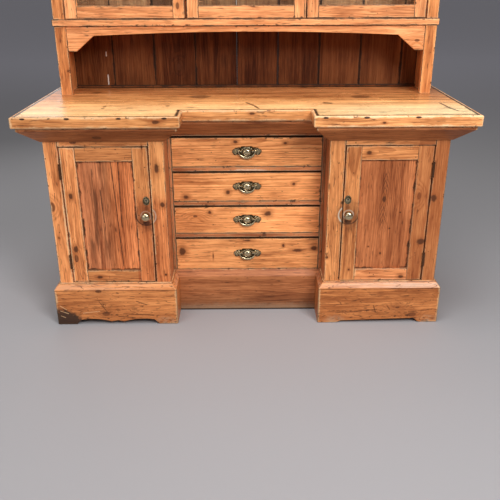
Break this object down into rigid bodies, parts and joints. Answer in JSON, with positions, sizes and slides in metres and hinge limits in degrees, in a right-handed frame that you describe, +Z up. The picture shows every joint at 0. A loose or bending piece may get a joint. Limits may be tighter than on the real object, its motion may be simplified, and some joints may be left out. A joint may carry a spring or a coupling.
{
  "type": "kitchen dresser",
  "caption": "Waxed pine kitchen dresser with a stepped front: side cupboards, recessed drawers, worktop, open rack and a glazed cabinet with opening doors.",
  "frame": {"origin": "on the floor under the centre of the overall box", "axes": "+Z up, the front faces -Y, +X to the right seen from the front"},
  "size_m": [1.65, 0.68, 2.15],
  "materials": {
    "pine": "waxed",
    "raw_pine": "bare, aged",
    "dark_boards": "stained, aged",
    "iron": "dark, worn",
    "brass": "aged",
    "glass": "old sheet glass"
  },
  "bodies": {
    "carcass": {"left_plinth": "pine", "centre_plinth": "pine", "right_plinth": "pine", "outer_sides": "pine", "inner_sides": "pine", "cupboard_floors": "raw_pine", "cupboard_shelves": "raw_pine", "shelf_battens": "raw_pine", "base_back_boards": "dark_boards", "left_face_frame": "pine", "right_face_frame": "pine", "drawer_rails": "pine", "drawer_runners": "raw_pine", "worktop_planks": "pine", "worktop_lipping": "pine", "bed_moulding": "pine", "upper_sides": "pine", "upper_face_frame": "pine", "upper_back_boards": "dark_boards", "ledge_moulding": "pine", "rack_apron": "pine", "cabinet_floor_and_top": "pine", "cabinet_shelves": "pine", "cabinet_muntins": "pine", "cornice": "pine", "cupboard_hinges": "iron", "glazed_hinges": "brass"},
    "left_door": {"left_door_frame": "pine", "left_door_panel": "pine", "left_door_hinge_leaves": "iron", "left_door_lock": "brass"},
    "left_bolt": {"left_door_bolt": "iron"},
    "left_knob": {"left_door_knob": "brass"},
    "right_door": {"right_door_frame": "pine", "right_door_panel": "pine", "right_door_hinge_leaves": "iron", "right_door_lock": "brass"},
    "right_bolt": {"right_door_bolt": "iron"},
    "right_knob": {"right_door_knob": "brass"},
    "drawer_4": {"drawer_4": "pine", "drawer_4_plate": "brass"},
    "drawer_4_bail": {"drawer_4_bail": "brass"},
    "drawer_3": {"drawer_3": "pine", "drawer_3_plate": "brass"},
    "drawer_3_bail": {"drawer_3_bail": "brass"},
    "drawer_2": {"drawer_2": "pine", "drawer_2_plate": "brass"},
    "drawer_2_bail": {"drawer_2_bail": "brass"},
    "drawer_1": {"drawer_1": "pine", "drawer_1_plate": "brass"},
    "drawer_1_bail": {"drawer_1_bail": "brass"},
    "left_glazed_door": {"left_glazed_frame": "pine", "left_glass": "glass", "left_glazed_brasses": "brass"},
    "middle_glazed_door": {"middle_glazed_frame": "pine", "middle_glass": "glass", "middle_glazed_brasses": "brass"},
    "right_glazed_door": {"right_glazed_frame": "pine", "right_glass": "glass", "right_glazed_brasses": "brass"}
  },
  "joints": [
    {"name": "left_door_hinge", "type": "hinge", "parent": "carcass", "child": "left_door", "pos_m": [-0.69115, -0.2663, 0.453], "axis": [0, 0, -1], "range_deg": [0, 110]},
    {"name": "left_knob_turn", "type": "hinge", "parent": "left_door", "child": "left_knob", "pos_m": [-0.3865, -0.261, 0.457], "axis": [0, -1, 0], "range_deg": [0, 90]},
    {"name": "left_bolt_slide", "type": "slide", "parent": "left_door", "child": "left_bolt", "axis": [1, 0, 0], "range_m": [0, 0.01]},
    {"name": "right_door_hinge", "type": "hinge", "parent": "carcass", "child": "right_door", "pos_m": [0.69115, -0.2663, 0.453], "axis": [0, 0, 1], "range_deg": [0, 110]},
    {"name": "right_knob_turn", "type": "hinge", "parent": "right_door", "child": "right_knob", "pos_m": [0.3865, -0.261, 0.457], "axis": [0, 1, 0], "range_deg": [0, 90]},
    {"name": "right_bolt_slide", "type": "slide", "parent": "right_door", "child": "right_bolt", "axis": [-1, 0, 0], "range_m": [0, 0.01]},
    {"name": "drawer_4_slide", "type": "slide", "parent": "carcass", "child": "drawer_4", "axis": [0, -1, 0], "range_m": [0, 0.33]},
    {"name": "drawer_4_bail_swing", "type": "hinge", "parent": "drawer_4", "child": "drawer_4_bail", "pos_m": [0, -0.1502, 0.25255], "axis": [-1, 0, 0], "range_deg": [0, 85]},
    {"name": "drawer_3_slide", "type": "slide", "parent": "carcass", "child": "drawer_3", "axis": [0, -1, 0], "range_m": [0, 0.33]},
    {"name": "drawer_3_bail_swing", "type": "hinge", "parent": "drawer_3", "child": "drawer_3_bail", "pos_m": [0, -0.1502, 0.40038], "axis": [-1, 0, 0], "range_deg": [0, 85]},
    {"name": "drawer_2_slide", "type": "slide", "parent": "carcass", "child": "drawer_2", "axis": [0, -1, 0], "range_m": [0, 0.33]},
    {"name": "drawer_2_bail_swing", "type": "hinge", "parent": "drawer_2", "child": "drawer_2_bail", "pos_m": [0, -0.1502, 0.53912], "axis": [-1, 0, 0], "range_deg": [0, 85]},
    {"name": "drawer_1_slide", "type": "slide", "parent": "carcass", "child": "drawer_1", "axis": [0, -1, 0], "range_m": [0, 0.33]},
    {"name": "drawer_1_bail_swing", "type": "hinge", "parent": "drawer_1", "child": "drawer_1_bail", "pos_m": [0, -0.1502, 0.67929], "axis": [-1, 0, 0], "range_deg": [0, 85]},
    {"name": "left_glazed_door_hinge", "type": "hinge", "parent": "carcass", "child": "left_glazed_door", "pos_m": [-0.71115, 0.1117, 1.589], "axis": [0, 0, -1], "range_deg": [0, 110]},
    {"name": "middle_glazed_door_hinge", "type": "hinge", "parent": "carcass", "child": "middle_glazed_door", "pos_m": [-0.23465, 0.1117, 1.589], "axis": [0, 0, -1], "range_deg": [0, 90]},
    {"name": "right_glazed_door_hinge", "type": "hinge", "parent": "carcass", "child": "right_glazed_door", "pos_m": [0.71115, 0.1117, 1.589], "axis": [0, 0, 1], "range_deg": [0, 110]}
  ]
}
